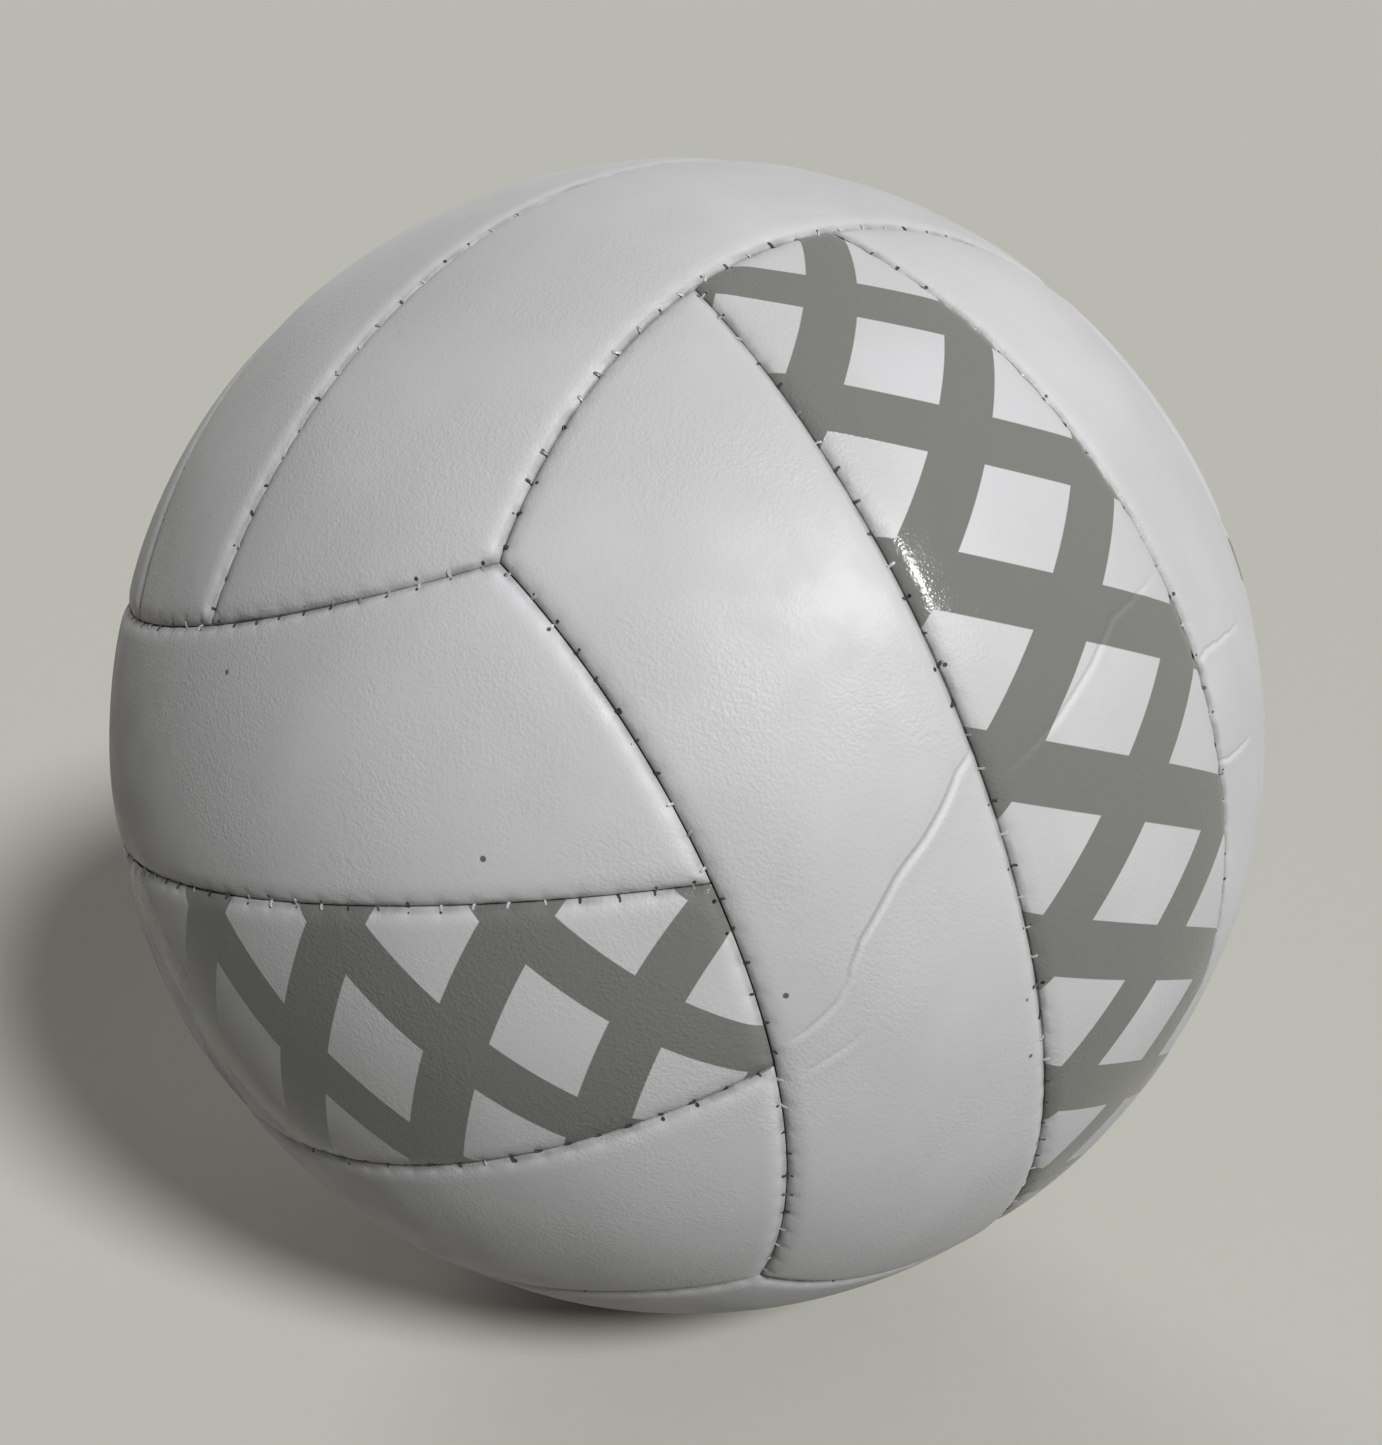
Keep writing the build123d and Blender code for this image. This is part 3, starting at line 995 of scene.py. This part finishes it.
    def holes(self, bench: NodeBench) -> Socket:
        """Gives 1 where the pricked hole beside each stitch is painted dark as its shade, and 0 elsewhere."""
        seam = bench.layer("stitch_place")
        number = bench.math("ROUND", seam["X"])
        key = bench.add("ShaderNodeCombineXYZ", X=number, Y=bench.math("ROUND", seam["Z"])).outputs["Vector"]
        chance = bench.add("ShaderNodeTexWhiteNoise", {"noise_dimensions": "2D"}, Vector=key)
        draw = bench.add("ShaderNodeSeparateColor", Color=chance.outputs["Color"]).outputs
        along = bench.times(bench.math("SUBTRACT", seam["X"], number), BALL.stitch_pitch)
        along = bench.math("ADD", along, bench.ramp(draw[2], self.hole_slide))
        out = bench.math("SUBTRACT", seam["Y"], bench.ramp(draw[1], self.hole_offset))
        gap = bench.add("ShaderNodeCombineXYZ", X=along, Y=out).outputs["Vector"]
        rim = bench.ramp(draw[0], self.hole_rim)
        return bench.ramp(bench.measure("LENGTH", gap), (bench.times(rim, self.hole_core), rim, 1.0, 0.0))

    def grain(self, bench: NodeBench, place: object, mask: object) -> Socket:
        """Builds the relief: pebble grain, deeper in patches and on print, and the creases' sharp lines."""
        pebbles = bench.cells(place, self.grain_scale, "SMOOTH_F1")["Distance"]
        wrinkles = bench.times(bench.noise(place, *self.wrinkle_noise), self.wrinkle_share)
        height = bench.math("ADD", bench.times(pebbles, self.pebble_share), wrinkles)
        height = bench.times(height, bench.patches(place, *self.depths))
        if mask is not None:
            height = bench.times(height, bench.math("ADD", 1.0, bench.times(mask, self.print_grain)))
        height = bench.times(height, self.grain_height)
        for name in CREASE_LAYERS:
            crease = bench.layer(name)
            fall, rise = bench.ramp(crease["X"], self.fold_fall), bench.ramp(crease["X"], self.fold_rise)
            height = bench.math("ADD", height, bench.times(bench.math("ADD", fall, rise), crease["Y"]))
        return bench.bump(height, 1.0, 1.0)

    def material(self) -> bpy.types.Material:
        """Makes the material."""
        bench = NodeBench(bpy.data.materials.new(self.name))
        place, strip = bench.place(), bench.layer("strip_place")
        mask = self.trellis.mask(bench, strip["X"], strip["Y"]) if self.trellis else None
        # Paints the shade of the stitch holes near black over the leather's colour.
        colour = bench.blend(self.holes(bench), self.colour(bench, place, strip["Z"], mask), self.hole)
        # Dark specks of dirt at listed points, in the same near black.
        for spot in CAMERA.on_ball(SPECK_PIXELS) * BALL.radius:
            speck = bench.ramp(bench.measure("DISTANCE", place, spot), self.speck_span)
            colour = bench.blend(speck, colour, self.hole)
        rough, gloss = bench.patches(place, *self.shine), self.specular
        if mask is not None:
            rough = bench.math("SUBTRACT", rough, bench.times(mask, self.print_polish))
            gloss = bench.ramp(mask, (0.0, 1.0, self.specular, self.print_specular))
        return bench.finish(
            Base_Color=colour, Roughness=rough, IOR=self.refraction, Specular_IOR_Level=gloss,
            Normal=self.grain(bench, place, mask),
        )


@dataclass(frozen=True)
class ThreadFinish:
    """Waxed thread, its tone set at random for each stitch, from near black to pale."""

    name: str = "waxed_thread"
    dark: tuple = (0.045, 0.043, 0.04, 1.0)
    light: tuple = (0.72, 0.72, 0.71, 1.0)
    fibre_noise: tuple = (5200.0, 3.0, 0.6)
    fibre_span: tuple = (0.3, 0.7, 0.6, 1.0)
    tone_span: tuple = (0.35, 0.75, 0.0, 1.0)
    rough_span: tuple = (0.3, 0.7, 0.22, 0.42)
    bump_strength: float = 0.5
    bump_height: float = 0.05 * MM

    def material(self) -> bpy.types.Material:
        """Makes the material."""
        bench = NodeBench(bpy.data.materials.new(self.name))
        tone = bench.add("ShaderNodeAttribute", {"attribute_name": "stitch_tone"}).outputs["Fac"]
        fibre = bench.noise(bench.place(), *self.fibre_noise)
        shade = bench.times(bench.ramp(tone, self.tone_span), bench.ramp(fibre, self.fibre_span))
        return bench.finish(
            Base_Color=bench.blend(shade, self.dark, self.light),
            Roughness=bench.ramp(fibre, self.rough_span),
            Normal=bench.bump(fibre, self.bump_strength, self.bump_height),
        )


@dataclass(frozen=True)
class PlainFinish:
    """A matte finish with fine grain and cloudy colour, for rubber and for foam with its lining."""

    name: str
    colour: tuple
    cloud: tuple
    grain_noise: tuple
    rough_span: tuple
    clouds: tuple = ((45.0, 4.0), (0.35, 0.65, 0.0, 1.0))
    bump_strength: float = 0.4
    bump_height: float = 0.06 * MM

    def material(self) -> bpy.types.Material:
        """Makes the material."""
        bench = NodeBench(bpy.data.materials.new(self.name))
        place = bench.place()
        clouds = bench.patches(place, *self.clouds)
        grain = bench.noise(place, *self.grain_noise)
        return bench.finish(
            Base_Color=bench.blend(clouds, self.colour, self.cloud),
            Roughness=bench.ramp(grain, self.rough_span),
            Normal=bench.bump(grain, self.bump_strength, self.bump_height),
        )


WHITE_LEATHER = LeatherFinish("white_leather")
PRINTED_LEATHER = LeatherFinish("printed_leather", trellis=Trellis())
THREAD = ThreadFinish()
FOAM = PlainFinish(
    "lined_foam", (0.55, 0.53, 0.47, 1.0), (0.48, 0.46, 0.41, 1.0),
    grain_noise=(900.0, 4.0, 0.6), rough_span=(0.3, 0.7, 0.77, 0.93),
)
BLADDER_RUBBER = PlainFinish(
    "bladder_rubber", (0.022, 0.022, 0.023, 1.0), (0.035, 0.035, 0.035, 1.0),
    grain_noise=(700.0, 4.0, 0.6), rough_span=(0.3, 0.7, 0.47, 0.63),
)
VALVE_RUBBER = PlainFinish(
    "valve_rubber", (0.030, 0.030, 0.031, 1.0), (0.045, 0.044, 0.043, 1.0),
    grain_noise=(1500.0, 4.0, 0.6), rough_span=(0.3, 0.7, 0.42, 0.58),
)


def dress(piece: Piece, material: bpy.types.Material) -> None:
    """Gives a piece one material all over."""
    piece.data.materials.clear()
    piece.data.materials.append(material)


@dataclass
class Volleyball:
    """The ball: eighteen leather strips, their thread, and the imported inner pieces."""

    patterns: dict = field(default_factory=dict)
    panel_seed_step: int = 10
    thread_seed: int = 100

    def build_covers(self) -> None:
        """Models the strips and lays them on the ball."""
        for strip in Strip:
            self.patterns[strip] = CoverPattern(strip)
            self.patterns[strip].build()
        white, printed = WHITE_LEATHER.material(), PRINTED_LEATHER.material()
        for seed, group in enumerate(GROUPS):
            panels = [CoverPanel(group, "middle", self.patterns[Strip.MIDDLE])]
            panels += [
                CoverPanel(group, name, self.patterns[Strip.OUTER], half_turn)
                for name, half_turn in zip(group.outer_names, (False, True))
            ]
            for index, panel in enumerate(panels):
                piece = panel.build(self.panel_seed_step * seed + index)
                dress(piece, printed if panel.has_print else white)
        for pattern in self.patterns.values():
            bpy.data.meshes.remove(pattern.mesh)

    def build_thread(self) -> None:
        """Sews the seams."""
        material = THREAD.material()
        dividers = (divider_seam(1.0), divider_seam(-1.0))
        edges = (edge_seam(Y_AXIS, Z_AXIS), edge_seam(-Y_AXIS, Z_AXIS))
        lots = [(group, lot) for group in GROUPS for lot in (("dividers", dividers), ("edges", edges))]
        for seed, (group, (name, seams)) in enumerate(lots, self.thread_seed):
            thread = SeamThread(group, name, seams, self.patterns[Strip.OUTER])
            dress(thread.build(seed), material)

    def dress_inside(self) -> None:
        """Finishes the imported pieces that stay: pads, bladder and valve."""
        foam, bladder, valve = FOAM.material(), BLADDER_RUBBER.material(), VALVE_RUBBER.material()
        for name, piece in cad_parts.items():
            if name.startswith("pad_"):
                dress(piece, foam)
            elif name in ("bladder", "valve_housing"):
                dress(piece, bladder)
            elif name == "valve_core":
                dress(piece, valve)
            else:
                continue
            LOG.info("%s: dressed", name)

    def build(self) -> None:
        """Builds and dresses the whole ball."""
        self.build_covers()
        self.build_thread()
        self.dress_inside()


@dataclass(frozen=True)
class Lamp:
    """A soft lamp far off: its direction and its width in degrees, its strength and whether it glares."""

    name: str
    azimuth: float
    elevation: float
    spread: float
    strength: float
    has_glare: bool = True

    def build(self) -> None:
        """Hangs the lamp."""
        light = bpy.data.lights.new(self.name, "SUN")
        light.angle = math.radians(self.spread)
        light.energy = self.strength
        lamp = put_in_scene(self.name, light)
        lamp.visible_glossy = self.has_glare
        lamp.rotation_euler = (math.radians(90.0 - self.elevation), 0.0, math.radians(self.azimuth))


@dataclass(frozen=True)
class Studio:
    """Plain pale floor, a soft key lamp from the upper right and a soft lamp for the back."""

    floor_size: float = 60.0
    floor_roughness: float = 0.9
    floor_colour: tuple = (0.64, 0.634, 0.573, 1.0)
    fleck_noise: tuple = (240.0, 4.0)
    fleck_shade: float = 0.97
    floor_bounce: tuple = (0.10, 0.099, 0.09, 1.0)
    backdrop: tuple = (0.491, 0.485, 0.440, 1.0)
    fill_start: float = -0.2
    fill_strength: float = 0.04
    back_strength: float = 0.16
    lamps: tuple = (Lamp("key", 37.0, 38.0, 12.0, 2.95), Lamp("back", 195.0, 10.0, 30.0, 2.20, False))

    def seen(self, bench: NodeBench) -> Socket:
        """Gives 1 where the stage is looked at, straight or in a reflection, and 0 where it only lights."""
        path = bench.add("ShaderNodeLightPath").outputs
        direct = bench.math("MAXIMUM", path["Is Camera Ray"], path["Is Glossy Ray"])
        return bench.math("MAXIMUM", direct, path["Is Transmission Ray"])

    def floor(self) -> None:
        """Lays the floor under the ball."""
        deselect_all()
        bpy.ops.mesh.primitive_plane_add(size=self.floor_size, location=(0.0, 0.0, CAD_BOX[0][2]))
        floor = bpy.context.object
        floor.name = "floor"
        bench = NodeBench(bpy.data.materials.new("floor_paper"))
        fleck = bench.noise(bench.place(), *self.fleck_noise)
        tint = tuple(self.fleck_shade * channel for channel in self.floor_colour[:3]) + (1.0,)
        paper = bench.blend(fleck, self.floor_colour, tint)
        colour = bench.blend(self.seen(bench), self.floor_bounce, paper)
        dress(floor, bench.finish(Base_Color=colour, Roughness=self.floor_roughness, Specular_IOR_Level=0.0))

    def world(self) -> None:
        """Lights the shadows softly, more from behind, and shows a backdrop of the floor's own colour."""
        bench = NodeBench(bpy.data.worlds.new("studio"))
        bpy.context.scene.world = bench.owner
        ray = bench.add("ShaderNodeTexCoord").outputs["Generated"]
        level = bench.add(
            "ShaderNodeMapRange", Value=bench.add("ShaderNodeSeparateXYZ", Vector=ray).outputs["Y"],
            From_Min=self.fill_start, To_Min=self.fill_strength, To_Max=self.back_strength,
        )
        fill = bench.tree.nodes["Background"]
        bench.feed(fill.inputs["Color"], (1.0, 1.0, 1.0, 1.0))
        bench.feed(fill.inputs["Strength"], level.outputs["Result"])
        backdrop = bench.add("ShaderNodeBackground", Color=self.backdrop)
        either = bench.add("ShaderNodeMixShader")
        for socket, value in zip(either.inputs, (self.seen(bench), fill.outputs[0], backdrop.outputs[0])):
            bench.feed(socket, value)
        bench.feed(bench.tree.nodes["World Output"].inputs["Surface"], either.outputs[0])

    def build(self) -> None:
        """Sets up the stage, lamps and colour view."""
        bpy.context.scene.view_settings.view_transform = "Standard"
        self.floor()
        self.world()
        for lamp in self.lamps:
            lamp.build()


def main() -> None:
    """Builds the ball, its stage and its camera."""
    logging.basicConfig(level=logging.INFO, format="%(name)s %(message)s")
    Volleyball().build()
    Studio().build()
    CAMERA.build()


if __name__ == "__main__":
    main()
